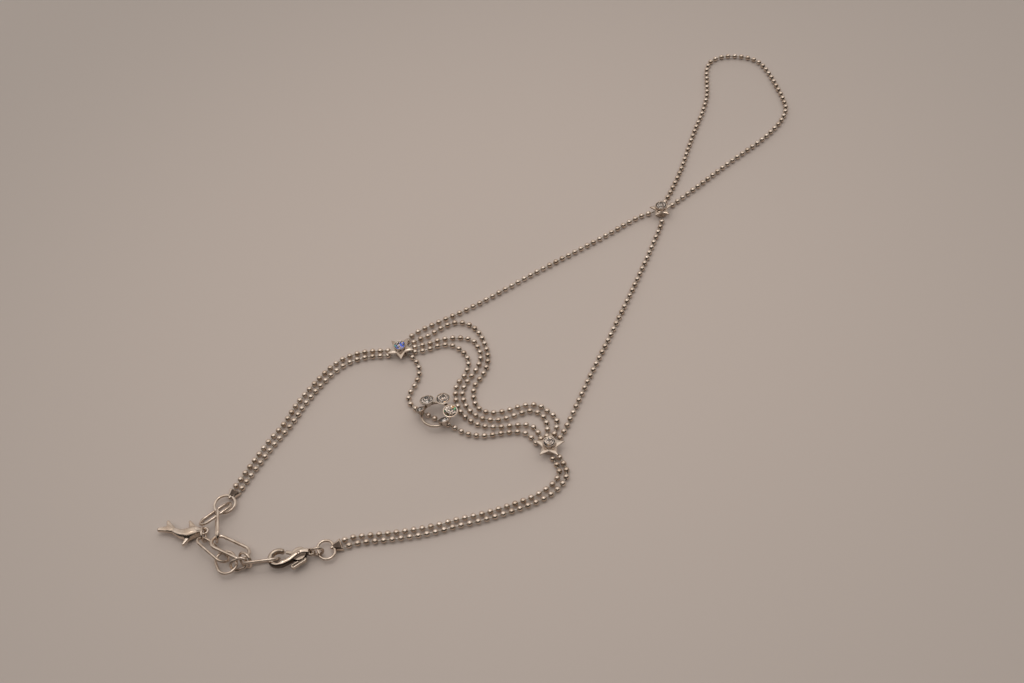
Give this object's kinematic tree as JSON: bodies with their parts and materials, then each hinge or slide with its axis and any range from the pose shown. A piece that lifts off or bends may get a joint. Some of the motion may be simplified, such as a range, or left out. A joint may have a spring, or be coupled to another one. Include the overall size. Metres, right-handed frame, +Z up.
{
  "type": "hand chain bracelet",
  "caption": "Ball-chain hand bracelet: a wrist chain with clasp and extension chain, joined by star settings and two long strands to a finger loop.",
  "frame": {"origin": "on the surface the piece lies on, under the middle of its outline", "axes": "+Z up from the surface, +Y from the clasp side towards the finger loop's far end, +X from the clasp towards the finger loop"},
  "size_m": [0.1339, 0.1178, 0.0034],
  "materials": {
    "silver_cast": "polished sterling silver",
    "silver_wire": "polished sterling silver wire",
    "silver_beads": "polished sterling silver balls",
    "stringing_wire": "satin silver wire",
    "clear_stone": "faceted clear cubic zirconia"
  },
  "bodies": {
    "chain": {"left_end_cap": "silver_cast", "right_end_cap": "silver_cast", "left_star": "silver_cast", "left_star_stone": "clear_stone", "right_star": "silver_cast", "right_star_stone": "clear_stone", "finger_star": "silver_cast", "finger_star_stone": "clear_stone", "flower_setting": "silver_cast", "flower_stone_1": "clear_stone", "flower_stone_2": "clear_stone", "flower_stone_3": "clear_stone", "flower_stone_4": "clear_stone", "flower_stone_5": "clear_stone", "clasp_body": "silver_cast", "clasp_rivet": "silver_cast", "clasp_ring": "silver_wire", "extension_link_1": "silver_wire", "extension_link_2": "silver_wire", "extension_link_3": "silver_wire", "extension_link_4": "silver_wire", "extension_link_5": "silver_wire", "extension_link_6": "silver_wire", "extension_link_7": "silver_wire", "extension_link_8": "silver_wire", "charm_ring": "silver_wire", "dolphin_charm": "silver_cast", "wrist_left_strand_a": "silver_beads", "wrist_left_strand_b": "silver_beads", "wrist_right_strand_a": "silver_beads", "wrist_right_strand_b": "silver_beads", "finger_loop": "silver_beads", "front_strand_1": "silver_beads", "front_strand_1_wire": "stringing_wire", "front_strand_2": "silver_beads", "front_strand_2_wire": "stringing_wire", "front_strand_3": "silver_beads", "front_strand_3_wire": "stringing_wire", "flower_strand": "silver_beads", "flower_strand_wire": "stringing_wire", "hand_left_strand": "silver_beads", "hand_left_strand_wire": "stringing_wire", "hand_right_strand": "silver_beads", "hand_right_strand_wire": "stringing_wire"},
    "lever": {"clasp_lever": "silver_cast"}
  },
  "joints": [
    {"name": "lever_pivot", "type": "hinge", "parent": "chain", "child": "lever", "pos_m": [-0.0417, -0.0563, 0.00135], "axis": [0, 0, 1], "range_deg": [0, 20], "stiffness_Nm_per_rad": 0.0001, "springref_deg": -17.19}
  ]
}
